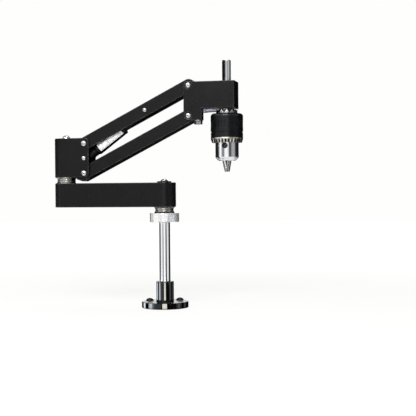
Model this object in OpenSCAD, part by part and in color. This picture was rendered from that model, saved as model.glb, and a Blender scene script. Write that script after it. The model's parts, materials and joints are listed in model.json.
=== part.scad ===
// Drill tapping stand: a swivelling parallel-link arm that holds a hand-driven chuck upright over the work.
// Millimetres, +Z up. The origin is the middle of the base flange's underside, on the post's axis.
// +X runs from the post towards the chuck and -Y faces the viewer. The links stand raised to rest_angle.

/* [Base flange] */
// Diameter of the flange
flange_d = 64; // [56:1:80]
// Thickness of the flange
flange_t = 8.5; // [6:0.5:14]
// Diameter of the hub that grips the post
hub_d = 24; // [20:0.5:30]
// Height of the hub above the flange
hub_h = 27.5; // [18:0.5:45]
// Web left under the post's seat
post_floor = 2.5; // [1.5:0.5:5]
// Number of fixing holes
base_hole_n = 6; // [3:1:6]
// Turn of the fixing holes round the flange
base_hole_turn = 47; // [0:1:60]
// Distance from a fixing hole to the flange's rim
base_hole_in = 8; // [6:0.5:9]
// Diameter of a fixing hole
base_hole_d = 6.4; // [4:0.2:7]
// Bevel round the top of a fixing hole
base_hole_bevel = 1; // [0.5:0.1:1.5]

/* [Post and collar] */
// Diameter of the post
post_d = 15; // [13.5:0.5:17]
// Diameter of the swivel journals on the post and at the elbow
journal_d = 12; // [9:0.5:12.5]
// Height of the collar's underside
collar_z = 117.3; // [70:1:220]
// Diameter of the collar
collar_d = 40; // [34:1:50]
// Thickness of the collar
collar_t = 12.7; // [8:0.5:20]

/* [Swivel bearings] */
// Height of the cone that seats each bearing
boss_h = 2; // [1:0.5:4]
// Wide diameter of that cone
boss_d = 29.5; // [27:0.5:31]
// Outer diameter of a bearing race
race_d = 26; // [23:0.5:27]
// Thickness of a bearing race
race_t = 1; // [0.8:0.1:2]
// Diameter of a needle
needle_d = 2; // [1.5:0.1:2.5]
// Length of a needle
needle_len = 4.6; // [3:0.1:5]
// Needles in a bearing
needle_n = 16; // [10:1:18]
// Outer diameter of the journal bushes
bush_d = 16; // [14:0.5:18]
// Length of the journal bushes
bush_len = 12; // [6:1:15]

/* [Lower arm] */
// Distance from the post to the elbow
arm_reach = 141.5; // [110:0.5:220]
// Width of the arm, the bracket and the head
arm_w = 32; // [31:0.5:38]
// Height of the arm
arm_h = 33.5; // [28:0.5:50]
// Floor left under the elbow shaft
shaft_floor = 6; // [3:0.5:12]

/* [Rear bracket] */
// Height of the bracket
bracket_h = 54.5; // [54:0.5:70]
// Distance from the elbow to the rear pivots
pivot_out = 30.8; // [29:0.1:45]
// Height of the lower pivots above the bracket's underside
pivot_rise = 6; // [5.5:0.1:7]
// Distance from the lower pivot to the upper one
pivot_gap = 41; // [39:0.5:42]
// Reach of the ears beyond the pivots
ear_reach = 7.1; // [6.5:0.1:9]
// Thickness of an ear
ear_t = 3.7; // [3:0.1:4.5]
// Radius of the ears' corners
ear_r = 6; // [2:0.5:6.5]

/* [Links] */
// Distance between a link's two pivots
link_len = 167; // [140:1:240]
// Width of a link
link_w = 17.5; // [16:0.1:18]
// Reach of a link's heel behind its rear pivot
link_heel = 13.9; // [11:0.1:14]
// Bevel of that heel's corners
heel_bevel = 6; // [4:0.1:6.5]
// Angle of the links above level, as the stand is shown
rest_angle = 27; // [20:1:35]
// Diameter of the pivot pins
pin_d = 6; // [5.5:0.1:6.5]
// Outer diameter of the pivot bushes
pin_bush_d = 8.5; // [7.5:0.1:9.5]
// Length of a pivot bush in a solid link end
pin_bush_len = 8; // [4:0.5:11]

/* [Gas strut] */
// Distance from the upper link's rear pivot to the strut's upper pin
strut_reach = 97.5; // [90:0.5:110]
// Width of the slot in the upper link that takes the strut
strut_slot_w = 16.5; // [16:0.1:17]
// Thickness of the wall over that slot
strut_slot_roof = 3.2; // [2:0.1:3.5]
// Reach of that slot beyond the strut's upper pin
strut_slot_past = 11; // [8:0.5:20]
// Diameter of the barrel
barrel_d = 15; // [13.5:0.1:15.5]
// Wall of the barrel
barrel_wall = 1.2; // [0.8:0.1:2]
// Distance from the lower pin to the barrel's lower cap
barrel_start = 19; // [17:0.5:22]
// Length of the barrel with its caps
barrel_len = 49.5; // [46:0.5:60]
// Length of a barrel cap
cap_len = 4.6; // [3:0.1:7]
// Diameter of the rod
rod_d = 6; // [5:0.1:7]
// Length of the piston
piston_len = 6; // [4:0.5:10]
// Distance from the barrel's lower end to the piston
piston_in = 20.5; // [15:0.5:22]
// Diameter of the strut's pins
strut_pin_d = 5; // [4.5:0.1:5.2]
// Outer diameter of the eyes
eye_d = 9.2; // [8.8:0.1:9.4]
// Width of the eyes
eye_w = 8; // [6:0.5:14]
// Play of the lower eye round its pin, which takes up the linkage's small misfit
eye_play = 0.65; // [0.6:0.01:0.8]
// Shift of the lower eye along the strut that centres that play
eye_shift_along = 0.3; // [0.25:0.01:0.35]
// Shift of the lower eye across the strut that centres that play
eye_shift_across = 0.37; // [0.3:0.01:0.42]

/* [Head] */
// Height of the head's main body
head_h = 36.5; // [34:0.5:40]
// Reach of the head behind its pivots
head_back = 6.3; // [5.5:0.1:8]
// Height of the head above its upper pivot
head_rise = 4.7; // [4.2:0.1:7]
// Depth of the head's leg below its lower pivot
leg_foot = 6.3; // [5.5:0.1:8]
// Reach of the leg in front of its pivot
leg_out = 19; // [19:0.1:24]
// Thickness of the leg's front cheek, which takes the levelling bolt
leg_cheek = 11.5; // [11:0.1:16]
// Wall of the leg behind that cheek
leg_wall = 4; // [2:0.1:6]
// Distance from the pivots to the spindle
spindle_out = 50.2; // [49:0.1:80]
// Reach of the head in front of the spindle
head_end = 13.3; // [12:0.1:20]
// Diameter of the recess round a head pivot screw
recess_d = 10.5; // [9:0.1:12]
// Depth of that recess
recess_t = 1.2; // [0.4:0.1:1.6]

/* [Spindle] */
// Diameter of the spindle
spindle_d = 12; // [10:0.1:12.5]
// Height of the drive shank above the head
shank_h = 28.8; // [20:0.1:45]
// Length of the spindle in the chuck
spindle_grip = 24; // [14:0.5:26]
// Outer diameter of a spindle bearing
ball_race_d = 21; // [20:0.5:22]
// Width of a spindle bearing
ball_race_w = 5; // [4.5:0.1:6]
// Diameter of a bearing ball
ball_d = 2.4; // [2:0.1:2.6]
// Balls in a bearing
ball_n = 12; // [8:1:14]
// Diameter of the lock nut
nut_d = 29; // [26:0.5:29]
// Height of the lock nut
nut_h = 6.2; // [6:0.1:9]
// Height of the toothed crown round the lock nut
nut_crown_h = 4.6; // [3:0.1:5]
// Depth of the crown round the nut's neck
nut_crown_in = 4; // [2:0.1:5]
// Teeth on the crown
nut_tooth_n = 12; // [8:1:14]
// Turn of the teeth round the spindle
nut_tooth_turn = 26; // [0:1:45]
// Height of the plain rim under the teeth
nut_rim = 0.5; // [0.3:0.1:2]

/* [Chuck] */
// Diameter of the sleeve
sleeve_d = 44; // [43.5:0.5:48]
// Height of the sleeve
sleeve_h = 33; // [32:0.5:38]
// Wall of the sleeve
sleeve_wall = 1.6; // [1.2:0.1:1.8]
// Radius of the sleeve's shoulder
shoulder_r = 4; // [2:0.5:6]
// Distance from the sleeve's top to its grip band
grip_drop = 10.4; // [7:0.1:13]
// Height of the grip band
grip_h = 8; // [5:0.1:9]
// Height of the bead under the grip band
bead_h = 7; // [4:0.1:9]
// Depth of the grip band and the groove under the bead
grip_deep = 1; // [0.4:0.1:1.1]
// Ribs round the grip band
sleeve_rib_n = 28; // [12:2:40]
// Height of the gear ring's visible part
ring_h = 6.6; // [6:0.1:9]
// Teeth on the gear ring
ring_tooth_n = 30; // [20:1:34]
// Height of the plain rim over the teeth
ring_rim = 2; // [1.5:0.1:4]
// Inward taper of the teeth's outer ends
ring_taper = 1.4; // [0.5:0.1:2.5]
// Depth of the gaps between the teeth
tooth_deep = 3.4; // [2.5:0.1:3.6]
// Tilt of the teeth's roots
tooth_tilt = 18; // [5:1:30]
// Diameter of the chuck's body
body_d = 31.7; // [31:0.1:32.2]
// Height of the body below the gear ring
body_h = 24.6; // [20:0.1:26]
// Diameter of the nose at its lower end
nose_d = 20.5; // [19:0.5:24]
// Height of the nose's cone
nose_h = 5.1; // [3:0.1:8]
// Swell of that cone between its ends
nose_swell = 0.7; // [0:0.1:0.8]
// Height of the lip under the split nut's groove
nut_lip = 1.6; // [1:0.1:2.5]
// Height of the gear ring's spigot in the sleeve
spigot_h = 2.2; // [1.5:0.1:4]
// Wall of the gear ring round the split nut's lower part
nut_step = 1.2; // [0.8:0.1:1.6]
// Step from the body in to its neck
neck_step = 1.5; // [1.2:0.1:2]
// Diameter of the bore that takes a tool's shank
shank_bore_d = 13.2; // [10:0.1:13.4]
// Diameter of the key holes
key_hole_d = 8; // [5:0.1:8.4]
// Depth of the key holes
key_hole_deep = 6; // [3:0.1:7]
// Diameter of a jaw
jaw_d = 6.6; // [6:0.1:6.8]
// Length of a jaw along its own axis
jaw_len = 44; // [42:0.5:45]
// Angle of a jaw to the spindle
jaw_angle = 13.5; // [13:0.1:14]
// Reach of the closed jaws below the body
jaw_out = 14.6; // [12:0.1:16]

/* [Fastenings] */
// Thread of the screws on the post and the elbow
cap_screw_d = 6; // [5:0.5:6]
// Diameter of the post screw's head
cap_head_d = 10.5; // [9:0.1:11]
// Height of the post screw's head
cap_head_h = 3.3; // [2.5:0.1:4]
// Diameter of the elbow screw's head
elbow_head_d = 11.2; // [9:0.1:12]
// Height of the elbow screw's head
elbow_head_h = 4.9; // [3:0.1:6]
// Diameter of the washer on the post
post_washer_d = 19.4; // [17:0.1:24]
// Diameter of the washer on the elbow shaft
elbow_washer_d = 17; // [14:0.1:20]
// Thickness of these washers
washer_t = 1.6; // [1:0.1:2.5]
// Thread of the pivot screws
pivot_screw_d = 4; // [3:0.1:4.5]
// Diameter of the pivot screws' heads
pivot_head_d = 7.6; // [7:0.1:8.5]
// Height of the pivot screws' heads
pivot_head_h = 2.2; // [1.6:0.1:2.4]
// Thread of the strut screws
strut_screw_d = 3; // [2:0.1:3.4]
// Diameter of the strut screws' heads
strut_head_d = 5.7; // [5.4:0.1:6.5]
// Height of the strut screws' heads
strut_head_h = 1.7; // [1.2:0.1:2]
// Thread of the grub screws
grub_d = 5; // [3:0.5:6]
// Thread of the levelling bolt under the head's leg
level_bolt_d = 6; // [4:0.5:6]
// Width of the levelling bolt across its flats
level_bolt_af = 10; // [8:0.5:11]
// Height of the levelling bolt's head
level_head_h = 4; // [2.5:0.1:5]
// Turn of that head
level_head_turn = 18; // [0:1:59]
// Diameter of the levelling bolt's washer
level_washer_d = 12; // [11:0.1:12]
// Thread of the lock lever
lever_stud_d = 5; // [4:0.5:5]
// Diameter of the lock lever's hub
lever_hub_d = 7; // [6.5:0.1:7.5]
// Height of the lock lever's hub
lever_hub_h = 5.6; // [5:0.1:5.8]
// Diameter of the lock lever's tip
lever_tip_d = 4.2; // [3:0.1:5]
// Length of the lock lever from its stud
lever_len = 15.6; // [10:0.1:16]
// Distance from the head's front to the lock lever's stud
lever_in = 4; // [4:0.1:4.4]

/* [Clearances] */
// Gap round a piece that is fixed in its seat
seat_gap = 0.02; // [0.01:0.01:0.05]
// Gap round a piece that turns or slides in its seat
run_gap = 0.05; // [0.02:0.01:0.08]
// Gap between faces that pass each other
pass_gap = 0.3; // [0.2:0.05:0.4]
// Bevel on the outer edges
edge = 0.6; // [0.3:0.1:1]

/* [Hidden] */
$fn = 96;
past = 1;
fine = 0.2;

// Heights, from the base up
hub_top = flange_t + hub_h;
collar_top = collar_z + collar_t;
needle_gap = needle_d + 2 * seat_gap;
stack_h = 2 * boss_h + 2 * race_t + needle_gap;
arm_z = collar_top + stack_h;
arm_top = arm_z + arm_h;
bracket_z = arm_top + stack_h;
bracket_top = bracket_z + bracket_h;
boss_tip_d = race_d - 2 * edge;

// The linkage's pivots
elbow_x = -arm_reach;
rear_x = elbow_x + pivot_out;
rear_low = bracket_z + pivot_rise;
rear_high = rear_low + pivot_gap;
front_x = rear_x + link_len * cos(rest_angle);
front_low = rear_low + link_len * sin(rest_angle);
front_high = front_low + pivot_gap;
fork_w = arm_w - 2 * ear_t;
link_depth = fork_w - 2 * pass_gap;
link_end_gap = 0.5;
fork_depth = link_w / 2 + link_end_gap;
heel_half = link_w / 2 - heel_bevel;
rear_fork_depth = sqrt(link_heel * link_heel + heel_half * heel_half) + link_end_gap;

// The head
head_left = front_x - head_back;
head_top = front_high + head_rise;
head_low = head_top - head_h;
leg_low = front_low - leg_foot;
leg_right = front_x + leg_out;
spindle_x = front_x + spindle_out;
head_right = spindle_x + head_end;

// The chuck, from its top down
chuck_top = head_low - pass_gap - nut_h;
sleeve_top = chuck_top - pass_gap;
sleeve_low = chuck_top - sleeve_h;
ring_low = sleeve_low - ring_h;
nose_z = ring_low - body_h;
tip_z = nose_z - jaw_out;
sleeve_in_d = sleeve_d - 2 * sleeve_wall;
neck_d = body_d - 2 * neck_step;
nut_groove_z = ring_low + nut_lip;
spigot_top = sleeve_low + spigot_h;
nut_groove_h = spigot_top - nut_groove_z;
nut_ring_d = body_d + 2 * nut_step;
key_hole_z = ring_low - key_hole_d / 2 - fine;
jaw_grip = 0.2;

// The strut's line, from its lower pin to its upper pin
strut_low = rear_low + pivot_gap / 2;
strut_run = strut_reach * cos(rest_angle);
strut_climb = strut_reach * sin(rest_angle) + rear_high - strut_low;
strut_angle = atan2(strut_climb, strut_run);
strut_len = sqrt(strut_run * strut_run + strut_climb * strut_climb);
barrel_end = barrel_start + barrel_len;
piston_gap = 0.1;

// The spindle's bearings
ball_mid_d = (ball_race_d + spindle_d) / 2;
race_split = ball_d * 0.7;

// Screws
socket_share = 0.58;
pivot_screw_len = 7;
cap_screw_len = 12;
level_bolt_x = leg_right - level_washer_d / 2;
level_bolt_y = (leg_cheek - arm_w) / 2;
level_bolt_len = 12;
lever_x = leg_right + pass_gap + lever_hub_d / 2;
lever_y = lever_in - arm_w / 2;
lever_z = head_low - pass_gap - lever_hub_h;
lever_stud_len = 12;

// Radius of the jaws' outer side at height z
function jaw_r(z) = (z - tip_z) * tan(jaw_angle) + jaw_d / 2 / cos(jaw_angle);

// Shapes that repeat

// Upright round bar with bevelled ends
module round_bar(d, h, c = edge) {
    rotate_extrude() polygon([
        [0, 0], [d / 2 - c, 0], [d / 2, c], [d / 2, h - c], [d / 2 - c, h], [0, h]
    ]);
}

// Upright tube
module tube(d_out, d_in, h) {
    difference() {
        cylinder(d = d_out, h = h);
        translate([0, 0, -past]) cylinder(d = d_in, h = h + 2 * past);
    }
}

// Round hole or pin across the stand, centred on y = 0
module cross(d, len) {
    rotate([90, 0, 0]) cylinder(d = d, h = len, center = true);
}

// Round bar across the stand with bevelled ends
module cross_bar(d, len, c = edge) {
    translate([0, len / 2, 0]) rotate([90, 0, 0]) round_bar(d, len, c);
}

// Bar along X with its four long edges bevelled
module bar_x(x0, x1, w, z0, z1, c = edge) {
    translate([x0, 0, 0]) rotate([90, 0, 90]) linear_extrude(x1 - x0) polygon([
        [c - w / 2, z0], [w / 2 - c, z0], [w / 2, z0 + c], [w / 2, z1 - c],
        [w / 2 - c, z1], [c - w / 2, z1], [-w / 2, z1 - c], [-w / 2, z0 + c]
    ]);
}

// Upright slab whose end at x1 has bevelled edges
module slab_front(x0, x1, w, z0, z1, c = edge) {
    translate([0, 0, z0]) linear_extrude(z1 - z0) polygon([
        [x0, -w / 2], [x1 - c, -w / 2], [x1, c - w / 2], [x1, w / 2 - c], [x1 - c, w / 2], [x0, w / 2]
    ]);
}

// Upright slab with bevelled edges all round
module slab(x0, x1, w, z0, z1) {
    middle = (x0 + x1) / 2;
    intersection() {
        bar_x(x0, x1, w, z0, z1);
        union() {
            slab_front(middle, x1, w, z0, z1);
            mirror([1, 0, 0]) slab_front(-middle, -x0, w, z0, z1);
        }
    }
}

// Cutter that rounds a slab's corner at [x, z]; sx and sz point to the outside
module corner_cut(x, z, sx, sz, r, w) {
    translate([x - sx * r, 0, z - sz * r]) difference() {
        translate([sx > 0 ? 0 : -r - past, -w / 2 - past, sz > 0 ? 0 : -r - past])
            cube([r + past, w + 2 * past, r + past]);
        cross_bar(2 * r, w);
    }
}

// Button-head screw along +Z, its head's seat at z = 0
module button_screw(d, head_d, head_h, len) {
    rim = head_h * 0.15;
    dome = head_h - rim;
    r = (dome * dome + head_d * head_d / 4) / (2 * dome);
    difference() {
        union() {
            intersection() {
                cylinder(d = head_d, h = head_h + past);
                translate([0, 0, head_h - r]) sphere(r);
                translate([-head_d, -head_d, 0]) cube([2 * head_d, 2 * head_d, head_h + past]);
            }
            translate([0, 0, -len]) cylinder(d = d, h = len + rim);
        }
        translate([0, 0, head_h * 0.4]) cylinder(d = d * socket_share / cos(30), h = head_h, $fn = 6);
    }
}

// Grub screw along +Z
module grub_screw(d, len) {
    difference() {
        cylinder(d = d, h = len);
        translate([0, 0, len / 2]) cylinder(d = d / 2 / cos(30), h = len, $fn = 6);
    }
}

// The same pair of screws at the front and the back, its seats w apart
module screw_pair(w) {
    translate([0, -w / 2, 0]) rotate([90, 0, 0]) children();
    translate([0, w / 2, 0]) rotate([-90, 0, 0]) children();
}

// Pin across the stand, threaded at both ends
module threaded_pin(d, len, screw_d, screw_len) {
    difference() {
        cross(d, len);
        screw_pair(len) translate([0, 0, -screw_len - past])
            cylinder(d = screw_d + 2 * seat_gap, h = screw_len + 2 * past);
    }
}

// Bush pair across the stand, flush with faces w apart
module bush_pair(w, len) {
    for (side = [-1, 1])
        translate([0, side * (w - len) / 2, 0]) difference() {
            cross(pin_bush_d, len);
            cross(pin_d + 2 * run_gap, len + 2 * past);
        }
}

// Bush pair on a journal, flush with the ends of a bore from z0 to z1
module journal_bushes(z0, z1) {
    for (z = [z0, z1 - bush_len])
        translate([0, 0, z]) tube(bush_d, journal_d + 2 * run_gap, bush_len);
}

// The plain race, the race with its seating cone, the cage and the needles of a swivel bearing, each from
// its own underside; the cone widens upwards
race_bore = journal_d + 2 * run_gap;
module race() {
    tube(race_d, race_bore, race_t);
}
module cone_race() {
    rotate_extrude() polygon([
        [race_bore / 2, 0], [race_d / 2, 0], [race_d / 2, race_t], [boss_tip_d / 2, race_t],
        [boss_d / 2, race_t + boss_h], [race_bore / 2, race_t + boss_h]
    ]);
}
needle_mid = (journal_d + race_d) / 4;
cage_t = needle_d * 0.7;
module cage() {
    difference() {
        translate([0, 0, (needle_gap - cage_t) / 2]) tube(race_d - edge, journal_d + 2 * pass_gap, cage_t);
        for (i = [1:needle_n])
            rotate([0, 0, 360 * i / needle_n])
                translate([needle_mid - needle_len / 2 - run_gap, -needle_d / 2 - run_gap, -past])
                    cube([needle_len + 2 * run_gap, needle_d + 2 * run_gap, needle_gap + 2 * past]);
    }
}
module needles() {
    for (i = [1:needle_n])
        rotate([0, 0, 360 * i / needle_n])
            translate([needle_mid - needle_len / 2, 0, needle_gap / 2])
                rotate([0, 90, 0]) cylinder(d = needle_d, h = needle_len);
}
post_bearing_z = collar_top + boss_h;
elbow_bearing_z = arm_top + boss_h;

// Places along the linkage
module rear_link_frame(z) {
    translate([rear_x, 0, z]) rotate([0, -rest_angle, 0]) children();
}
module strut_frame() {
    translate([rear_x, 0, strut_low]) rotate([0, 90 - strut_angle, 0]) children();
}
module spindle_frame() {
    translate([spindle_x, 0, 0]) children();
}

// Base

hub_grub_z = flange_t + hub_h * 0.55;
module base_flange() {
    sink_h = base_hole_bevel + past;
    color("#17181c") difference() {
        union() {
            round_bar(flange_d, flange_t);
            round_bar(hub_d, hub_top);
        }
        translate([0, 0, post_floor]) cylinder(d = post_d + 2 * seat_gap, h = hub_top);
        for (i = [0:base_hole_n - 1])
            rotate([0, 0, base_hole_turn + 360 * i / base_hole_n])
                translate([flange_d / 2 - base_hole_in, 0, 0]) {
                    translate([0, 0, -past]) cylinder(d = base_hole_d, h = flange_t + 2 * past);
                    translate([0, 0, flange_t - base_hole_bevel])
                        cylinder(d1 = base_hole_d, d2 = base_hole_d + 2 * sink_h, h = sink_h);
                }
        translate([0, 0, hub_grub_z]) rotate([-90, 0, 0]) cylinder(d = grub_d + 2 * seat_gap, h = hub_d);
    }
}

post_top = arm_top + fine;
module post() {
    color("#c9cdd2") difference() {
        union() {
            translate([0, 0, post_floor]) cylinder(d = post_d, h = post_bearing_z - post_floor);
            translate([0, 0, post_bearing_z - past])
                cylinder(d = journal_d, h = post_top - post_bearing_z + past);
        }
        translate([0, 0, post_top - cap_screw_len - past])
            cylinder(d = cap_screw_d + 2 * seat_gap, h = cap_screw_len + 2 * past);
    }
}

module hub_grub_screw() {
    color("#2b2b2e") translate([0, post_d / 2 + seat_gap, hub_grub_z])
        rotate([-90, 0, 0]) grub_screw(grub_d, (hub_d - post_d) / 2 - fine);
}

module height_collar() {
    color("#dcdee0") difference() {
        translate([0, 0, collar_z]) round_bar(collar_d, collar_t);
        translate([0, 0, collar_z - past]) cylinder(d = post_d + 2 * seat_gap, h = collar_t + 2 * past);
        translate([0, 0, collar_z + collar_t / 2])
            rotate([-90, 0, 0]) cylinder(d = grub_d + 2 * seat_gap, h = collar_d);
    }
}

module collar_grub_screw() {
    color("#2b2b2e") translate([0, post_d / 2 + seat_gap, collar_z + collar_t / 2])
        rotate([-90, 0, 0]) grub_screw(grub_d, (collar_d - post_d) / 2 - 2 * past);
}

module post_seat_ring() {
    color("#202124") difference() {
        translate([0, 0, collar_top]) cylinder(d1 = boss_d, d2 = boss_tip_d, h = boss_h);
        translate([0, 0, collar_top - past]) cylinder(d = post_d + 2 * seat_gap, h = boss_h + 2 * past);
    }
}

module post_bearing_lower_race() {
    color("#d5d8da") translate([0, 0, post_bearing_z]) race();
}

module post_bearing_cage() {
    color("#8d7b45") translate([0, 0, post_bearing_z + race_t]) cage();
}

module post_bearing_needles() {
    color("#e2e4e6") translate([0, 0, post_bearing_z + race_t]) needles();
}

module post_washer() {
    color("#3a3b3d") translate([0, 0, post_top]) tube(post_washer_d, cap_screw_d + 2 * pass_gap, washer_t);
}

module post_screw() {
    color("#d8dadd") translate([0, 0, post_top + washer_t])
        button_screw(cap_screw_d, cap_head_d, cap_head_h, cap_screw_len);
}

// Lower arm

elbow_seat_h = washer_t + fine;
elbow_shaft_top = bracket_top - elbow_seat_h + fine;
module lower_arm() {
    color("#29292b") difference() {
        union() {
            bar_x(elbow_x, 0, arm_w, arm_z, arm_top);
            translate([0, 0, arm_z]) round_bar(arm_w, arm_h);
            translate([elbow_x, 0, arm_z]) round_bar(arm_w, arm_h);
        }
        translate([0, 0, arm_z - past]) cylinder(d = bush_d + 2 * seat_gap, h = arm_h + 2 * past);
        translate([elbow_x, 0, arm_z + shaft_floor]) cylinder(d = journal_d + 2 * seat_gap, h = arm_h);
    }
}

module post_bushes() {
    color("#9a7a3c") journal_bushes(arm_z, arm_top);
}

module post_bearing_upper_race() {
    color("#d5d8da") translate([0, 0, arm_z - boss_h - race_t]) cone_race();
}

module elbow_shaft() {
    color("#c9cdd2") translate([elbow_x, 0, 0]) difference() {
        translate([0, 0, arm_z + shaft_floor])
            cylinder(d = journal_d, h = elbow_shaft_top - arm_z - shaft_floor);
        translate([0, 0, elbow_shaft_top - cap_screw_len - past])
            cylinder(d = cap_screw_d + 2 * seat_gap, h = cap_screw_len + 2 * past);
    }
}

module elbow_bearing_lower_race() {
    color("#d5d8da") translate([elbow_x, 0, elbow_bearing_z + race_t]) mirror([0, 0, 1]) cone_race();
}

module elbow_bearing_cage() {
    color("#8d7b45") translate([elbow_x, 0, elbow_bearing_z + race_t]) cage();
}

module elbow_bearing_needles() {
    color("#e2e4e6") translate([elbow_x, 0, elbow_bearing_z + race_t]) needles();
}

module elbow_washer() {
    color("#3a3b3d") translate([elbow_x, 0, elbow_shaft_top])
        tube(elbow_washer_d, cap_screw_d + 2 * pass_gap, washer_t);
}

module elbow_screw() {
    color("#d8dadd") translate([elbow_x, 0, elbow_shaft_top + washer_t])
        button_screw(cap_screw_d, elbow_head_d, elbow_head_h, cap_screw_len);
}

// Rear bracket

bracket_right = rear_x + ear_reach;
module rear_bracket() {
    color("#29292b") difference() {
        union() {
            translate([elbow_x, 0, bracket_z]) round_bar(arm_w, bracket_h);
            intersection() {
                bar_x(elbow_x, bracket_right, arm_w, bracket_z, bracket_top);
                slab_front(elbow_x, bracket_right, arm_w, bracket_z, bracket_top);
            }
        }
        translate([elbow_x, 0, bracket_z - past])
            cylinder(d = bush_d + 2 * seat_gap, h = bracket_h + 2 * past);
        translate([elbow_x, 0, bracket_top - elbow_seat_h])
            cylinder(d = elbow_washer_d + 2 * pass_gap, h = elbow_seat_h + past);
        translate([rear_x - rear_fork_depth, -fork_w / 2, bracket_z - past])
            cube([rear_fork_depth + ear_reach + past, fork_w, bracket_h + 2 * past]);
        corner_cut(bracket_right, bracket_top, 1, 1, ear_r, arm_w);
        corner_cut(bracket_right, bracket_z, 1, -1, ear_r, arm_w);
        for (z = [rear_low, rear_high])
            translate([rear_x, 0, z]) cross(pin_d + 2 * seat_gap, arm_w + 2 * past);
        translate([rear_x, 0, strut_low]) cross(strut_pin_d + 2 * seat_gap, arm_w + 2 * past);
    }
}

module elbow_bushes() {
    color("#9a7a3c") translate([elbow_x, 0, 0])
        journal_bushes(bracket_z, bracket_top - elbow_seat_h);
}

module elbow_bearing_upper_race() {
    color("#d5d8da") translate([elbow_x, 0, bracket_z - boss_h - race_t]) cone_race();
}

module rear_pivot_pins() {
    color("#c9cdd2") for (z = [rear_low, rear_high])
        translate([rear_x, 0, z]) threaded_pin(pin_d, arm_w - fine, pivot_screw_d, pivot_screw_len);
}

module rear_pivot_screws() {
    color("#d8dadd") for (z = [rear_low, rear_high])
        translate([rear_x, 0, z])
            screw_pair(arm_w) button_screw(pivot_screw_d, pivot_head_d, pivot_head_h, pivot_screw_len);
}

module strut_lower_pin() {
    color("#c9cdd2") translate([rear_x, 0, strut_low])
        threaded_pin(strut_pin_d, arm_w - fine, strut_screw_d, pivot_screw_len);
}

module strut_lower_screws() {
    color("#d8dadd") translate([rear_x, 0, strut_low])
        screw_pair(arm_w) button_screw(strut_screw_d, strut_head_d, strut_head_h, pivot_screw_len);
}

// Links

// A link along X from its rear pivot: a bevelled heel behind that pivot and a round front end
module link_bar() {
    difference() {
        union() {
            intersection() {
                bar_x(-link_heel, link_len, link_depth, -link_w / 2, link_w / 2);
                rotate([90, 0, 0]) linear_extrude(link_depth, center = true) polygon([
                    [-link_heel, -heel_half], [heel_bevel - link_heel, -link_w / 2], [link_len, -link_w / 2],
                    [link_len, link_w / 2], [heel_bevel - link_heel, link_w / 2], [-link_heel, heel_half]
                ]);
            }
            translate([link_len, 0, 0]) cross_bar(link_w, link_depth);
        }
        for (x = [0, link_len])
            translate([x, 0, 0]) cross(pin_bush_d + 2 * seat_gap, link_depth + 2 * past);
    }
}

strut_cheek = (link_depth - strut_slot_w) / 2;
module upper_link() {
    color("#2b2b2d") rear_link_frame(rear_high) difference() {
        link_bar();
        translate([-link_w, -strut_slot_w / 2, -link_w])
            cube([link_w + strut_reach + strut_slot_past, strut_slot_w, 1.5 * link_w - strut_slot_roof]);
        translate([strut_reach, 0, 0]) cross(strut_pin_d + 2 * seat_gap, link_depth + 2 * past);
    }
}

module upper_link_bushes() {
    color("#9a7a3c") rear_link_frame(rear_high) {
        bush_pair(link_depth, strut_cheek);
        translate([link_len, 0, 0]) bush_pair(link_depth, pin_bush_len);
    }
}

module strut_upper_pin() {
    color("#c9cdd2") rear_link_frame(rear_high) translate([strut_reach, 0, 0])
        threaded_pin(strut_pin_d, link_depth - fine, strut_screw_d, pivot_screw_len);
}

module strut_upper_screws() {
    color("#d8dadd") rear_link_frame(rear_high) translate([strut_reach, 0, 0])
        screw_pair(link_depth) button_screw(strut_screw_d, strut_head_d, strut_head_h, pivot_screw_len);
}

module lower_link() {
    color("#2b2b2d") rear_link_frame(rear_low) link_bar();
}

module lower_link_bushes() {
    color("#9a7a3c") rear_link_frame(rear_low)
        for (x = [0, link_len]) translate([x, 0, 0]) bush_pair(link_depth, pin_bush_len);
}

// Gas strut, along its own Z from the lower pin to the upper pin

barrel_in_d = barrel_d - 2 * barrel_wall;
ring_groove = 0.4;
module strut_barrel() {
    bare = barrel_len - 2 * cap_len;
    color("#e6e7e9") strut_frame() translate([0, 0, barrel_start + cap_len]) difference() {
        tube(barrel_d, barrel_in_d, bare);
        translate([0, 0, bare * 0.4]) difference() {
            cylinder(d = barrel_d + past, h = 2 * ring_groove, center = true);
            cylinder(d = barrel_d - 2 * ring_groove, h = 2 * past, center = true);
        }
    }
}

// Cap with a spigot in the barrel; the spigot points along +Z
module barrel_cap(bore) {
    difference() {
        union() {
            round_bar(barrel_d, cap_len, edge);
            cylinder(d = barrel_in_d - 2 * seat_gap, h = 2 * cap_len);
        }
        translate([0, 0, -past]) cylinder(d = bore, h = 2 * cap_len + 2 * past);
    }
}

module strut_gland() {
    color("#1d1d1f") strut_frame() translate([0, 0, barrel_start]) barrel_cap(rod_d + 2 * run_gap);
}

module strut_end_cap() {
    color("#1d1d1f") strut_frame() translate([0, 0, barrel_end]) mirror([0, 0, 1])
        barrel_cap(rod_d + 2 * seat_gap);
}

module strut_upper_eye() {
    color("#303033") strut_frame() difference() {
        union() {
            translate([0, 0, strut_len]) cross(eye_d, eye_w);
            translate([0, 0, barrel_end - 2 * cap_len])
                cylinder(d = rod_d, h = strut_len - barrel_end + 2 * cap_len);
        }
        translate([0, 0, strut_len]) cross(strut_pin_d + 2 * run_gap, eye_w + 2 * past);
    }
}

piston_z = barrel_start + piston_in;
eye_neck = 2;
rod_foot = eye_d / 2 + eye_neck;
module strut_rod() {
    color("#3c3d40") strut_frame()
        translate([0, 0, rod_foot]) cylinder(d = rod_d, h = piston_z + piston_len - rod_foot);
}

module strut_piston() {
    color("#b9bcc0") strut_frame() translate([0, 0, piston_z])
        tube(barrel_in_d - 2 * piston_gap, rod_d + 2 * seat_gap, piston_len);
}

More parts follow.
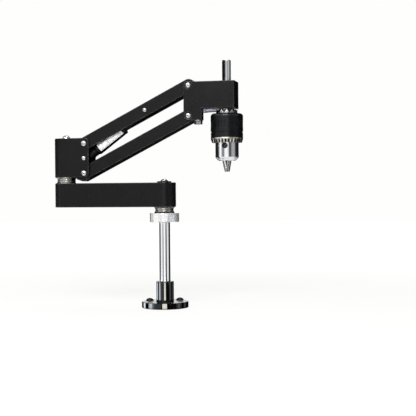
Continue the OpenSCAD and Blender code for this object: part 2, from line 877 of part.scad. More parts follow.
// The lower eye is the linkage's open pivot: its hole is wider than the pin and set off to centre the play
module strut_lower_eye() {
    socket_len = 4;
    socket_wall = 1;
    color("#303033") strut_frame() difference() {
        union() {
            translate([-eye_shift_across, 0, eye_shift_along]) cross(eye_d, eye_w);
            cylinder(d = rod_d + 2 * socket_wall, h = rod_foot + socket_len);
        }
        translate([0, 0, rod_foot]) cylinder(d = rod_d + 2 * seat_gap, h = 2 * socket_len);
        translate([-eye_shift_across, 0, eye_shift_along]) cross(strut_pin_d + 2 * eye_play, 2 * eye_w);
    }
}

// Head

// The leg is as wide as the head round the fork; in front of that only its front cheek goes on
module head_leg() {
    top = head_low + 2 * edge + past;
    front = -arm_w / 2;
    wall_x = front_x + fork_depth + leg_wall;
    intersection() {
        slab(head_left, leg_right, arm_w, leg_low, top);
        translate([0, 0, leg_low]) linear_extrude(top - leg_low) polygon([
            [head_left, front], [leg_right, front], [leg_right, front + leg_cheek],
            [wall_x, front + leg_cheek], [wall_x, -front], [head_left, -front]
        ]);
    }
}

module head_block() {
    bearing_bore = ball_race_d + 2 * seat_gap;
    seat_h = ball_race_w + fine;
    color("#303032") difference() {
        union() {
            slab(head_left, head_right, arm_w, head_low, head_top);
            head_leg();
        }
        corner_cut(head_left, head_top, -1, 1, head_rise, arm_w);
        corner_cut(head_left, leg_low, -1, -1, head_back, arm_w);
        translate([head_left - past, -fork_w / 2, leg_low - past])
            cube([head_back + fork_depth + past, fork_w, head_top - leg_low + 2 * past]);
        for (z = [front_low, front_high]) translate([front_x, 0, z]) {
            cross(pin_d + 2 * seat_gap, arm_w + 2 * past);
            screw_pair(arm_w) translate([0, 0, -recess_t]) cylinder(d = recess_d, h = recess_t + past);
        }
        spindle_frame() {
            translate([0, 0, head_low - past]) cylinder(d = ball_mid_d, h = head_h + 2 * past);
            translate([0, 0, head_low - past]) cylinder(d = bearing_bore, h = seat_h + past);
            translate([0, 0, head_top - seat_h]) cylinder(d = bearing_bore, h = seat_h + past);
        }
        translate([level_bolt_x, level_bolt_y, leg_low - past])
            cylinder(d = level_bolt_d + 2 * seat_gap, h = level_bolt_len + past);
        translate([lever_x, lever_y, head_low - past])
            cylinder(d = lever_stud_d + 2 * run_gap, h = lever_stud_len + past);
    }
}

head_seat_w = arm_w - 2 * recess_t;
module head_pivot_pins() {
    color("#c9cdd2") for (z = [front_low, front_high])
        translate([front_x, 0, z]) threaded_pin(pin_d, head_seat_w - fine, pivot_screw_d, pivot_screw_len);
}

module head_pivot_screws() {
    color("#d8dadd") for (z = [front_low, front_high])
        translate([front_x, 0, z])
            screw_pair(head_seat_w) button_screw(pivot_screw_d, pivot_head_d, pivot_head_h, pivot_screw_len);
}

// A deep-groove race; the balls' groove is cut into the inner and the outer one
module ball_race(d_out, d_in) {
    difference() {
        tube(d_out, d_in, ball_race_w);
        rotate_extrude() translate([ball_mid_d / 2, ball_race_w / 2]) circle(d = ball_d + 2 * run_gap);
    }
}

// Both spindle bearings' places, each from its underside
module bearing_places() {
    for (z = [head_low + fine, head_top - fine - ball_race_w])
        translate([spindle_x, 0, z]) children();
}

module spindle_outer_races() {
    color("#b8bbbf") bearing_places() ball_race(ball_race_d, ball_mid_d + race_split);
}

module spindle_balls() {
    color("#e2e4e6") bearing_places()
        for (i = [1:ball_n])
            rotate([0, 0, 360 * i / ball_n])
                translate([ball_mid_d / 2, 0, ball_race_w / 2]) sphere(d = ball_d);
}

module levelling_washer() {
    color("#c4c7ca") translate([level_bolt_x, level_bolt_y, leg_low - washer_t])
        tube(level_washer_d, level_bolt_d + 2 * pass_gap, washer_t);
}

module levelling_bolt() {
    color("#c4c7ca") translate([level_bolt_x, level_bolt_y, leg_low - washer_t]) {
        translate([0, 0, -level_head_h]) rotate([0, 0, level_head_turn])
            cylinder(d = level_bolt_af / cos(30), h = level_head_h, $fn = 6);
        translate([0, 0, -past]) cylinder(d = level_bolt_d, h = level_bolt_len + past);
    }
}

module lock_lever() {
    handle_z = lever_hub_h / 2;
    color("#8f8d96") translate([lever_x, lever_y, lever_z]) difference() {
        union() {
            round_bar(lever_hub_d, lever_hub_h);
            translate([0, 0, handle_z]) rotate([0, 90, 0])
                cylinder(d1 = lever_hub_h - fine, d2 = lever_tip_d, h = lever_len);
        }
        translate([0, 0, edge]) cylinder(d = lever_stud_d + 2 * seat_gap, h = lever_hub_h);
    }
}

module lock_stud() {
    color("#c4c7ca") translate([lever_x, lever_y, lever_z + edge])
        cylinder(d = lever_stud_d, h = lever_hub_h - edge + lever_stud_len - past);
}

// Spindle

clip_t = 1;
clip_w = 1.5;
clip_groove = 0.5;
clip_open = 3;
module spindle() {
    color("#c9cdd2") spindle_frame() difference() {
        translate([0, 0, chuck_top - spindle_grip])
            round_bar(spindle_d, head_top + shank_h - chuck_top + spindle_grip);
        translate([0, 0, head_top - seat_gap])
            tube(spindle_d + past, spindle_d - 2 * clip_groove, clip_t + 2 * seat_gap);
    }
}

module spindle_inner_races() {
    color("#b8bbbf") bearing_places() ball_race(ball_mid_d - race_split, spindle_d + 2 * seat_gap);
}

module spindle_circlip() {
    color("#3a3b3d") spindle_frame() translate([0, 0, head_top]) difference() {
        tube(spindle_d + 2 * clip_w, spindle_d - 2 * clip_groove + 2 * seat_gap, clip_t);
        translate([-clip_open / 2, 0, -past]) cube([clip_open, spindle_d, clip_t + 2 * past]);
    }
}

module spindle_nut() {
    tooth_pitch = PI * nut_d / nut_tooth_n;
    mouth = tooth_pitch * 0.47;
    root = tooth_pitch * 0.04;
    neck = nut_d - 2 * nut_crown_in;
    color("#cfd2d5") spindle_frame() translate([0, 0, chuck_top]) difference() {
        union() {
            cylinder(d = nut_d, h = nut_crown_h);
            cylinder(d = neck, h = nut_h);
            cylinder(d = ball_mid_d - race_split, h = nut_h + pass_gap + fine);
        }
        translate([0, 0, -past]) cylinder(d = spindle_d + 2 * seat_gap, h = nut_h + pass_gap + 3 * past);
        for (i = [1:nut_tooth_n])
            rotate([0, 0, nut_tooth_turn + 360 * i / nut_tooth_n])
                translate([neck / 2, 0, 0]) rotate([90, 0, 90])
                    linear_extrude(nut_crown_in + past) polygon([
                        [-root, nut_rim], [root, nut_rim], [mouth, nut_crown_h], [mouth, nut_crown_h + past],
                        [-mouth, nut_crown_h + past], [-mouth, nut_crown_h]
                    ]);
    }
}

// Chuck

// The three places round the chuck; the jaws stand between the key holes
module jaw_place(i) {
    spindle_frame() rotate([0, 0, -30 + 120 * i]) children();
}
module jaw_axis() {
    translate([0, 0, tip_z]) rotate([0, jaw_angle, 0]) children();
}

// The nose's outline at share t of the way from its lower end up to the body
nose_run = (body_d - nose_d) / 2;
nose_slant = sqrt(nose_run * nose_run + nose_h * nose_h);
function nose_bow(t) = 4 * t * (1 - t) * nose_swell / nose_slant;
function nose_point(t) = [
    nose_d / 2 + t * nose_run + nose_bow(t) * nose_h,
    nose_z + t * nose_h - nose_bow(t) * nose_run
];

module chuck_body() {
    groove_r = jaw_r(nut_groove_z);
    color("#c3c7cb") difference() {
        spindle_frame() rotate_extrude() polygon(concat(
            [[0, nose_z]], [for (t = [0:0.125:1]) nose_point(t)],
            [[body_d / 2, nut_groove_z], [groove_r, nut_groove_z], [groove_r, spigot_top],
             [neck_d / 2, spigot_top], [neck_d / 2, chuck_top - edge], [neck_d / 2 - edge, chuck_top],
             [0, chuck_top]]
        ));
        spindle_frame() {
            translate([0, 0, nose_z - past])
                cylinder(d = shank_bore_d, h = chuck_top - spindle_grip - nose_z);
            translate([0, 0, nose_z]) cylinder(d = spindle_d + 2 * seat_gap, h = chuck_top - nose_z + past);
        }
        for (i = [0:2]) {
            jaw_place(i) jaw_axis()
                translate([0, 0, -jaw_d]) cylinder(d = jaw_d + 2 * run_gap, h = 2 * jaw_len);
            jaw_place(i) translate([0, 0, key_hole_z]) rotate([0, -90, 0])
                translate([0, 0, body_d / 2 - key_hole_deep]) cylinder(d = key_hole_d, h = 2 * key_hole_deep);
        }
    }
}

module chuck_jaw(i) {
    reach = 2 * jaw_len;
    color("#d0d3d6") intersection() {
        jaw_place(i) jaw_axis() translate([0, 0, -jaw_d]) cylinder(d = jaw_d, h = jaw_len + jaw_d);
        jaw_place(i) translate([jaw_grip, 0, tip_z]) linear_extrude(reach) polygon([
            [0, 0], [reach * cos(60), -reach * sin(60)], [reach * cos(60), reach * sin(60)]
        ]);
    }
}
module chuck_jaw_1() { chuck_jaw(0); }
module chuck_jaw_2() { chuck_jaw(1); }
module chuck_jaw_3() { chuck_jaw(2); }

// The nut that draws the jaws, split in two so that it goes into the body's groove
module chuck_split_nut() {
    play = 0.15;
    z0 = nut_groove_z + play;
    z1 = spigot_top - play;
    color("#a9adb1") spindle_frame() difference() {
        rotate_extrude() polygon([
            [jaw_r(z0) + play, z0], [nut_ring_d / 2, z0], [nut_ring_d / 2, z1], [jaw_r(z1) + play, z1]
        ]);
        translate([-sleeve_d, -fine / 2, z0 - past]) cube([2 * sleeve_d, fine, nut_groove_h + 2 * past]);
    }
}

module chuck_gear_ring() {
    tooth_pitch = PI * sleeve_d / ring_tooth_n;
    tooth_h = ring_h - ring_rim;
    ring_r = sleeve_d / 2 - fine;
    mouth = tooth_pitch * 0.27;
    root = tooth_pitch * 0.2;
    color("#cfd0cc") spindle_frame() difference() {
        rotate_extrude() polygon([
            [body_d / 2 + pass_gap, ring_low], [ring_r - ring_taper, ring_low],
            [ring_r, ring_low + tooth_h], [ring_r, sleeve_low],
            [sleeve_in_d / 2 - seat_gap, sleeve_low], [sleeve_in_d / 2 - seat_gap, spigot_top],
            [nut_ring_d / 2 + seat_gap, spigot_top], [nut_ring_d / 2 + seat_gap, nut_groove_z],
            [body_d / 2 + pass_gap, nut_groove_z]
        ]);
        for (i = [1:ring_tooth_n])
            rotate([0, 0, 360 * i / ring_tooth_n]) translate([ring_r, 0, ring_low])
                rotate([0, tooth_tilt, 0]) rotate([90, 0, 90])
                    linear_extrude(2 * tooth_deep, center = true) polygon([
                        [-mouth, -ring_h], [mouth, -ring_h], [mouth, -past],
                        [root, tooth_h], [-root, tooth_h], [-mouth, -past]
                    ]);
    }
}

// Moulded sleeve: a ribbed grip band between plain bands, with a bead and a groove under it
module chuck_sleeve() {
    r = sleeve_d / 2;
    band_top = sleeve_top - grip_drop;
    band_low = band_top - grip_h;
    bead_low = band_low - bead_h;
    slope = 0.6;
    rib_w = PI * sleeve_d / sleeve_rib_n * 0.55;
    color("#1e1e20") spindle_frame() difference() {
        union() {
            rotate_extrude() polygon(concat(
                [[0, sleeve_low], [r - fine, sleeve_low], [r - fine, bead_low - slope],
                 [r - grip_deep, bead_low], [r - grip_deep, bead_low + slope], [r, bead_low + 2 * slope],
                 [r, band_low - slope], [r - grip_deep, band_low],
                 [r - grip_deep, band_top], [r, band_top + slope]],
                [for (a = [0:15:90])
                    [r - shoulder_r * (1 - cos(a)), sleeve_top - shoulder_r * (1 - sin(a))]],
                [[0, sleeve_top]]
            ));
            for (i = [1:sleeve_rib_n])
                rotate([0, 0, 360 * i / sleeve_rib_n])
                    translate([r - grip_deep - fine, -rib_w / 2, band_low - slope / 2])
                        cube([grip_deep, rib_w, grip_h + slope]);
        }
        translate([0, 0, sleeve_low - past])
            cylinder(d = sleeve_in_d, h = sleeve_top - shoulder_r - sleeve_low + past);
        translate([0, 0, sleeve_low]) cylinder(d = neck_d + 2 * pass_gap, h = sleeve_h);
    }
}

base_flange();
post();
hub_grub_screw();
height_collar();
collar_grub_screw();
post_seat_ring();
post_bearing_lower_race();
post_bearing_cage();
post_bearing_needles();
post_washer();
post_screw();
lower_arm();
post_bushes();
post_bearing_upper_race();
elbow_shaft();
elbow_bearing_lower_race();
elbow_bearing_cage();
elbow_bearing_needles();
elbow_washer();
elbow_screw();
rear_bracket();
elbow_bushes();
elbow_bearing_upper_race();
rear_pivot_pins();
rear_pivot_screws();
strut_lower_pin();
strut_lower_screws();
upper_link();
upper_link_bushes();
strut_upper_pin();
strut_upper_screws();
lower_link();
lower_link_bushes();
strut_barrel();
strut_gland();
strut_end_cap();
strut_upper_eye();
strut_rod();
strut_piston();
strut_lower_eye();
head_block();
head_pivot_pins();
head_pivot_screws();
spindle_outer_races();
spindle_balls();
levelling_bolt();
levelling_washer();
lock_lever();
lock_stud();
spindle();
spindle_inner_races();
spindle_circlip();
spindle_nut();
chuck_body();
chuck_sleeve();
chuck_gear_ring();
chuck_split_nut();
chuck_jaw_1();
chuck_jaw_2();
chuck_jaw_3();
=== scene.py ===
import json
import math

import bpy
from mathutils import Matrix, Vector


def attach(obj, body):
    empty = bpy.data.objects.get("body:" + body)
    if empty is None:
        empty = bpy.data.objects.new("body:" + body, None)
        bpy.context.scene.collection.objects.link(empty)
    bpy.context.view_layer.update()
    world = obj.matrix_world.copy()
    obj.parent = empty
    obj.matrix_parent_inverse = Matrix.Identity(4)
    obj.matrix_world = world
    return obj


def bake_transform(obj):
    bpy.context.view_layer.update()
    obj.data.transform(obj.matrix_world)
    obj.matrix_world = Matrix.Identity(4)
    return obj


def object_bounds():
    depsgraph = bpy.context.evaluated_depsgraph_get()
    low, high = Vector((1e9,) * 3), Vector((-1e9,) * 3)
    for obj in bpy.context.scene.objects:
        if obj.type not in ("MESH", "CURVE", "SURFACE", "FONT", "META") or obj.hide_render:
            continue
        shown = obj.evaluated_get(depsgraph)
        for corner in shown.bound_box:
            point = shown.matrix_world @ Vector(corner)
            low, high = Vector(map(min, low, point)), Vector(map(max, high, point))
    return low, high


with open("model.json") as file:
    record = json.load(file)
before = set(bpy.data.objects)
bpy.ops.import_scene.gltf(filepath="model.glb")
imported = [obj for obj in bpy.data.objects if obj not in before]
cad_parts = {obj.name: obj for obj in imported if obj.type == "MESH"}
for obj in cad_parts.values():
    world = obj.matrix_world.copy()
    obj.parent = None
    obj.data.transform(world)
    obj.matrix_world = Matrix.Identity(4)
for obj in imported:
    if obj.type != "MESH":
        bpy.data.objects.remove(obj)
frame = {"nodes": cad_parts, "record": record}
cad_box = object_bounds()
scene = bpy.context.scene
scene.view_settings.view_transform = "Standard"
MM = 0.001

# Camera: where it stands round the base, and where the base's middle falls in the square picture
PICTURE_PX = 416
FOCAL_PX = 1000
SENSOR_MM = 36
CAMERA_AZIMUTH = 12.5
CAMERA_DOWN = 0.92
CAMERA_ROLL = -0.45
CAMERA_AWAY = 1.376
BASE_PX = (165.3, 307.2)


def place_camera():
    """Aims the camera so that the base's middle falls on its place in the picture."""
    azimuth, down, roll = (math.radians(a) for a in (CAMERA_AZIMUTH, CAMERA_DOWN, CAMERA_ROLL))
    back = Vector((
        math.sin(azimuth) * math.cos(down),
        -math.cos(azimuth) * math.cos(down),
        math.sin(down),
    ))
    level = Vector((math.cos(azimuth), math.sin(azimuth), 0))
    upright = back.cross(level)
    right = math.cos(roll) * level + math.sin(roll) * upright
    up = math.cos(roll) * upright - math.sin(roll) * level
    middle = PICTURE_PX / 2
    to_base = (BASE_PX[0] - middle) / FOCAL_PX * right - (BASE_PX[1] - middle) / FOCAL_PX * up - back
    lens = bpy.data.cameras.new("camera")
    lens.sensor_width = SENSOR_MM
    lens.lens = SENSOR_MM * FOCAL_PX / PICTURE_PX
    camera = bpy.data.objects.new("camera", lens)
    scene.collection.objects.link(camera)
    turn = Matrix((right, up, back)).transposed().to_4x4()
    camera.matrix_world = Matrix.Translation(-to_base * CAMERA_AWAY) @ turn
    scene.camera = camera


place_camera()


# Nodes and finishes

def linear(colour):
    """The linear RGBA of an sRGB hex colour."""
    parts = [int(colour[i:i + 2], 16) / 255 for i in (1, 3, 5)]
    return [p / 12.92 if p <= 0.04045 else ((p + 0.055) / 1.055) ** 2.4 for p in parts] + [1]


def add(tree, kind, inputs=None, **settings):
    """Adds a node. An input is a value or the socket that it is linked from, by its name or number."""
    node = tree.nodes.new(kind)
    for name, value in settings.items():
        setattr(node, name, value)
    for key, value in (inputs or {}).items():
        if isinstance(value, bpy.types.NodeSocket):
            tree.links.new(value, node.inputs[key])
        else:
            node.inputs[key].default_value = value
    return node


DRIFT_MM = 22
MIX_A, MIX_B, MIX_OUT = 6, 7, 2

# From none to all: the sum of grain and drift, the upward share of a face's direction, and the cosine of
# the angle by which a rounded edge turns away from its face
GRAIN_RANGE = (0.7, 1.3)
TOP_RANGE = (0.9, 0.99)
EDGE_RANGE = (0.99, 0.86)


def surface(name, colours, rough, grain_mm, stretch=(1, 1, 1), bump_mm=0.02, edge_mm=0.4, mirror=False,
            wear_and_edge_light=None, nook_shade=None, nook_shade_mm=2, open_share=(0.8, 0.4), label=None, top_rough=None, **sockets):
    """A grained finish: grain and slow drift move the colour and the roughness.

    colours are the two ends of the colour's drift and rough those of the roughness. grain_mm is the
    grain's size and stretch squeezes it along the axes. Edges look rounded to edge_mm, except on a
    mirror, which keeps its clean lines. wear_and_edge_light is the colour of the edges, lighter partly
    from wear and partly as a painted highlight, and nook_shade that of painted shade in nooks up to
    nook_shade_mm wide, from none to all between two shares of open view. label is the
    colour of a printed side, with a point on its edge and the direction that faces away from it.
    top_rough is the roughness of the faces that look up, where it is another.
    """
    material = bpy.data.materials.new(name)
    material.use_nodes = True
    tree = material.node_tree
    shader = tree.nodes["Principled BSDF"]
    for socket, value in sockets.items():
        shader.inputs[socket.replace("_", " ")].default_value = value
    place = add(tree, "ShaderNodeTexCoord").outputs["Object"]
    squeezed = add(tree, "ShaderNodeMapping", {"Vector": place, "Scale": stretch})
    grain = add(tree, "ShaderNodeTexNoise", {
        "Vector": squeezed.outputs[0], "Scale": 1 / (grain_mm * MM), "Detail": 3, "Roughness": 0.6})
    drift = add(tree, "ShaderNodeTexNoise", {"Vector": place, "Scale": 1 / (DRIFT_MM * MM), "Detail": 2})
    both = add(tree, "ShaderNodeMath", {0: grain.outputs[0], 1: drift.outputs[0]}, operation="ADD")
    share = add(tree, "ShaderNodeMapRange", {
        "Value": both.outputs[0], "From Min": GRAIN_RANGE[0], "From Max": GRAIN_RANGE[1]})
    result = add(tree, "ShaderNodeMix", {
        0: share.outputs[0], MIX_A: linear(colours[0]), MIX_B: linear(colours[1])}, data_type="RGBA")
    roughness = add(tree, "ShaderNodeMapRange", {
        "Value": share.outputs[0], "To Min": rough[0], "To Max": rough[1]})
    facing = add(tree, "ShaderNodeNewGeometry").outputs["Normal"]
    if top_rough:
        upright = add(tree, "ShaderNodeSeparateXYZ", {0: facing}).outputs["Z"]
        roughness = add(tree, "ShaderNodeMapRange", {
            "Value": upright, "From Min": TOP_RANGE[0], "From Max": TOP_RANGE[1],
            "To Min": roughness.outputs[0], "To Max": top_rough})
    rounded = add(tree, "ShaderNodeBevel", {"Radius": edge_mm * MM}, samples=4)
    lifted = add(tree, "ShaderNodeBump", {"Height": grain.outputs[0], "Distance": bump_mm * MM})
    if not mirror:
        tree.links.new(rounded.outputs[0], lifted.inputs["Normal"])
    if label:
        colour, point, away = label
        offset = add(tree, "ShaderNodeVectorMath", {0: place, 1: point}, operation="SUBTRACT")
        beyond = add(tree, "ShaderNodeVectorMath", {0: offset.outputs[0], 1: away}, operation="DOT_PRODUCT")
        inside = add(tree, "ShaderNodeMath", {0: beyond.outputs["Value"], 1: 0}, operation="LESS_THAN")
        result = add(tree, "ShaderNodeMix", {
            0: inside.outputs[0], MIX_A: result.outputs[MIX_OUT], MIX_B: linear(colour)}, data_type="RGBA")
    # Edges made lighter, partly as wear and partly as a painted edge highlight
    if wear_and_edge_light:
        turned = add(tree, "ShaderNodeVectorMath", {
            0: rounded.outputs[0], 1: facing}, operation="DOT_PRODUCT")
        edge = add(tree, "ShaderNodeMapRange", {
            "Value": turned.outputs["Value"], "From Min": EDGE_RANGE[0], "From Max": EDGE_RANGE[1]})
        rubbed_and_lit = add(tree, "ShaderNodeMath", {0: edge.outputs[0], 1: drift.outputs[0]}, operation="MULTIPLY")
        result = add(tree, "ShaderNodeMix", {
            0: rubbed_and_lit.outputs[0], MIX_A: result.outputs[MIX_OUT], MIX_B: linear(wear_and_edge_light)}, data_type="RGBA")
    # Painted shade: nooks darkened by ambient occlusion
    if nook_shade:
        nook = add(tree, "ShaderNodeAmbientOcclusion", {"Distance": nook_shade_mm * MM}, samples=8)
        deep = add(tree, "ShaderNodeMapRange", {
            "Value": nook.outputs["AO"], "From Min": open_share[0], "From Max": open_share[1]})
        result = add(tree, "ShaderNodeMix", {
            0: deep.outputs[0], MIX_A: result.outputs[MIX_OUT], MIX_B: linear(nook_shade)}, data_type="RGBA")
    tree.links.new(result.outputs[MIX_OUT], shader.inputs["Base Color"])
    tree.links.new(roughness.outputs[0], shader.inputs["Roughness"])
    tree.links.new(lifted.outputs[0], shader.inputs["Normal"])
    return material


TURNED = (0.02, 0.02, 1)

# Blasted and anodised aluminium: a dull satin black whose edges are a little grey, partly wear and partly
# painted highlight
black_anodised = surface(
    "black anodised aluminium, blasted", ("#0d0d0e", "#111112"), (0.26, 0.31), 1.2,
    bump_mm=0.002, edge_mm=0.8, wear_and_edge_light="#929295", Specular_IOR_Level=0.2)

# Black chrome over polished steel: a dark mirror that shows only the lights as bright streaks
# Its edges are lighter, partly wear and partly painted highlight, and painted shade darkens its nooks
black_chrome = surface(
    "black chromed steel, polished", ("#4e4f50", "#565758"), (0.03, 0.05), 6,
    bump_mm=0.001, mirror=True, wear_and_edge_light="#a9abb0", nook_shade="#08080a", nook_shade_mm=5, top_rough=0.32, Metallic=1)

# Hard chrome over ground bar: a clear mirror, drawn a little soft along the fine grinding rings
hard_chrome = surface(
    "hard chromed steel, ground", ("#dfe1e4", "#eceef0"), (0.03, 0.06), 0.8, TURNED,
    bump_mm=0.0004, mirror=True, Metallic=1)

# Turned and polished aluminium, clear anodised: almost white, with crisp upright bands of light
# Painted shade darkens its narrow nooks
satin_aluminium = surface(
    "clear anodised aluminium, polished", ("#e4e4e5", "#efefef"), (0.04, 0.06), 0.7, TURNED,
    bump_mm=0.001, nook_shade="#77777a", nook_shade_mm=1, Metallic=0.6)

# Hardened and lapped bearing steel: even and bright, dulled by a film of oil
# Painted shade darkens its narrow nooks
bearing_steel = surface(
    "bearing steel, lapped and oiled", ("#cfcec9", "#e2e1dc"), (0.2, 0.3), 0.6, TURNED,
    bump_mm=0.002, nook_shade="#4a4944", nook_shade_mm=1, Metallic=1)

# Cages and bushes of sintered bronze under oil: a greyed bronze with fine rings
# Painted shade darkens its narrow nooks
bronze = surface(
    "sintered bronze, oiled", ("#86837a", "#bcb9ae"), (0.26, 0.36), 0.5, TURNED, bump_mm=0.002,
    nook_shade="#2b2923", nook_shade_mm=1, Metallic=1)

# Zinc plate, clear passivated: bright and bluish, clouded in patches
# Painted shade darkens its nooks, such as the screws' sockets
zinc_plate = surface(
    "zinc plated steel", ("#d3d7da", "#eceef0"), (0.16, 0.28), 2.5,
    bump_mm=0.002, nook_shade="#1b1b1d", nook_shade_mm=1.6, Metallic=1)

# The same plate, glossier: bright teeth, with painted shade making the gaps black
shade_gap_zinc = surface(
    "zinc plated steel, gaps shaded", ("#d3d7da", "#eceef0"), (0.12, 0.2), 2.5,
    bump_mm=0.002, nook_shade="#060607", nook_shade_mm=5, open_share=(0.72, 0.5), Metallic=1)

# The same plate gone dull: a darker grey that spreads the light
# Its edges are lighter, partly wear and partly painted highlight, and painted shade darkens its nooks
dull_zinc = surface(
    "zinc plated steel, dulled", ("#83868a", "#9da0a3"), (0.26, 0.38), 2.5,
    bump_mm=0.003, wear_and_edge_light="#d3d7da", nook_shade="#1b1b1d", nook_shade_mm=1.6, Metallic=1)

# Blackened steel, oiled: nearly black with a low sheen, its edges lighter, partly wear and partly painted
# highlight
black_steel = surface(
    "blackened steel, oiled", ("#0c0c0d", "#151517"), (0.24, 0.34), 1, bump_mm=0.004, wear_and_edge_light="#48494b",
    Specular_IOR_Level=0.3)

# How far below the strut's middle line its label ends
LABEL_EDGE_MM = 5.6


def middle_of(name):
    """The middle of a CAD node's box, in its own coordinates."""
    corners = [Vector(corner) for corner in frame["nodes"][name].bound_box]
    return sum(corners, Vector()) / len(corners)


strut_foot = middle_of("strut_lower_pin")
strut_line = (middle_of("strut_upper_pin") - strut_foot).normalized()
strut_under = Vector((strut_line.z, 0, -strut_line.x))

# Black enamel with a blank pale label round most of it: glossy, the label almost white
# Painted shade darkens its narrow nooks
labelled_enamel = surface(
    "black enamelled steel, labelled", ("#0b0b0c", "#131314"), (0.16, 0.26), 3, bump_mm=0.001,
    label=("#f6f6f8", strut_foot + LABEL_EDGE_MM * MM * strut_under, strut_under),
    nook_shade="#0a0a0b", nook_shade_mm=1)

# Glass-filled nylon from a spark-eroded mould: deep black with a low gloss, slightly pebbled
# Its edges are lighter, partly wear and partly painted highlight, and painted shade darkens its rib gaps and
# grooves
black_nylon = surface(
    "glass filled nylon, moulded", ("#08090b", "#0f1013"), (0.18, 0.26), 0.9,
    bump_mm=0.006, wear_and_edge_light="#3c3d43", nook_shade="#010102", Specular_IOR_Level=0.3)

# Nitrile rubber, moulded: black with a soft shine on its folds
# Painted shade darkens the hollows between its folds
black_rubber = surface(
    "nitrile rubber, moulded", ("#0b0b0c", "#131314"), (0.26, 0.38), 1.6,
    bump_mm=0.006, nook_shade="#030303", nook_shade_mm=1.5, Specular_IOR_Level=0.5)

# Die-cast zinc, tumbled: a soft violet grey
# Its edges are lighter, partly wear and partly painted highlight, and painted shade darkens its nooks
cast_zinc = surface(
    "die cast zinc, tumbled", ("#6c6975", "#85828e"), (0.34, 0.48), 1.4,
    bump_mm=0.006, wear_and_edge_light="#c3c1ca", nook_shade="#3c3b42", Metallic=0.7)

# Polished and chromed chuck steel: mirror bright, with painted shade in the key holes and other deep nooks
chuck_chrome = surface(
    "chromed chuck steel, polished", ("#dcdee0", "#e9ebec"), (0.03, 0.06), 1, TURNED,
    bump_mm=0.0004, mirror=True, nook_shade="#0d0d0d", nook_shade_mm=12, open_share=(0.55, 0.35), Metallic=1)

# Cut and nickelled gear steel: warm white, with painted shade making the tooth gaps black
gear_nickel = surface(
    "nickelled gear steel, cut", ("#e4e0d2", "#f2efe5"), (0.18, 0.28), 1.2,
    bump_mm=0.003, nook_shade="#040404", nook_shade_mm=5, open_share=(0.94, 0.72), Metallic=1)

# Ground tool steel: bright with fine grinding marks
# Painted shade darkens its nooks, such as the gaps between the jaws
tool_steel = surface(
    "hardened tool steel, ground", ("#a9abae", "#bdbfc1"), (0.12, 0.18), 0.6, TURNED,
    bump_mm=0.001, mirror=True, nook_shade="#161616", nook_shade_mm=2, Metallic=1)

FINISHES = [
    (black_anodised, "lower_arm rear_bracket upper_link lower_link head_block post_seat_ring"),
    (black_chrome, "base_flange"),
    (hard_chrome, "post elbow_shaft rear_pivot_pins strut_lower_pin strut_upper_pin head_pivot_pins spindle"),
    (satin_aluminium, "height_collar strut_piston"),
    (bearing_steel, "post_bearing_lower_race post_bearing_upper_race post_bearing_needles"
                    " elbow_bearing_lower_race elbow_bearing_upper_race elbow_bearing_needles"
                    " spindle_outer_races spindle_inner_races spindle_balls"),
    (bronze, "post_bearing_cage elbow_bearing_cage post_bushes elbow_bushes upper_link_bushes"
             " lower_link_bushes"),
    (zinc_plate, "post_screw elbow_screw rear_pivot_screws strut_lower_screws strut_upper_screws"
                 " head_pivot_screws"),
    (shade_gap_zinc, "spindle_nut"),
    (dull_zinc, "levelling_bolt levelling_washer lock_stud"),
    (black_steel, "hub_grub_screw collar_grub_screw post_washer elbow_washer strut_upper_eye strut_lower_eye"
                  " spindle_circlip"),
    (labelled_enamel, "strut_barrel"),
    (black_nylon, "chuck_sleeve strut_gland strut_end_cap"),
    (cast_zinc, "lock_lever"),
    (chuck_chrome, "chuck_body"),
    (gear_nickel, "chuck_gear_ring chuck_split_nut"),
    (tool_steel, "strut_rod chuck_jaw_1 chuck_jaw_2 chuck_jaw_3"),
]
for material, names in FINISHES:
    for name in names.split():
        mesh = frame["nodes"][name].data
        mesh.materials.clear()
        mesh.materials.append(material)


# Pieces that the CAD leaves out: the bench screws and the gaiter on the strut's rod

SIDES = 36
SIDE_ANGLES = [360 * i / SIDES for i in range(SIDES)]
SHARP_ANGLE = 35


def round_piece(name, rings, material, loop=False):
    """A piece made of rings round its own Z, closed by two ends or, as a tube, by its first ring.

    A ring is a radius and a height, both in mm, and the radius may be a function of the angle.
    """
    points, faces = [], []
    for radius, height in rings:
        for angle in SIDE_ANGLES:
            r = radius(angle) if callable(radius) else radius
            points.append((r * math.cos(math.radians(angle)), r * math.sin(math.radians(angle)), height))
    for k in range(len(rings) if loop else len(rings) - 1):
        low, high = k * SIDES, (k + 1) % len(rings) * SIDES
        for i in range(SIDES):
            j = (i + 1) % SIDES
            faces.append((low + i, low + j, high + j, high + i))
    if not loop:
        faces += [list(range(SIDES))[::-1], list(range(len(points) - SIDES, len(points)))]
    mesh = bpy.data.meshes.new(name)
    mesh.from_pydata([Vector(p) * MM for p in points], [], faces)
    mesh.set_sharp_from_angle(angle=math.radians(SHARP_ANGLE))
    mesh.shade_smooth()
    mesh.materials.append(material)
    piece = bpy.data.objects.new(name, mesh)
    scene.collection.objects.link(piece)
    return piece


FLANGE_T = 8.5
HOLE_TURN = 47
SCREW_TURNS = (HOLE_TURN, HOLE_TURN + 120)
SCREW_D = 6
SCREW_LEN = 8
SCREW_HEAD_D = 10.4
SCREW_HEAD_H = 3.2
SCREW_RIM_H = 0.5
SCREW_DOME_ANGLES = (0, 12, 24, 36, 48, 60)
SOCKET_AF = 4
SOCKET_DEEP = 2
SOCKET_CORNER = 60


def socket_r(angle):
    """How far the socket's side is from its middle, in the direction of angle."""
    half = SOCKET_CORNER / 2
    from_flat = (angle + half) % SOCKET_CORNER - half
    return SOCKET_AF / 2 / math.cos(math.radians(from_flat))


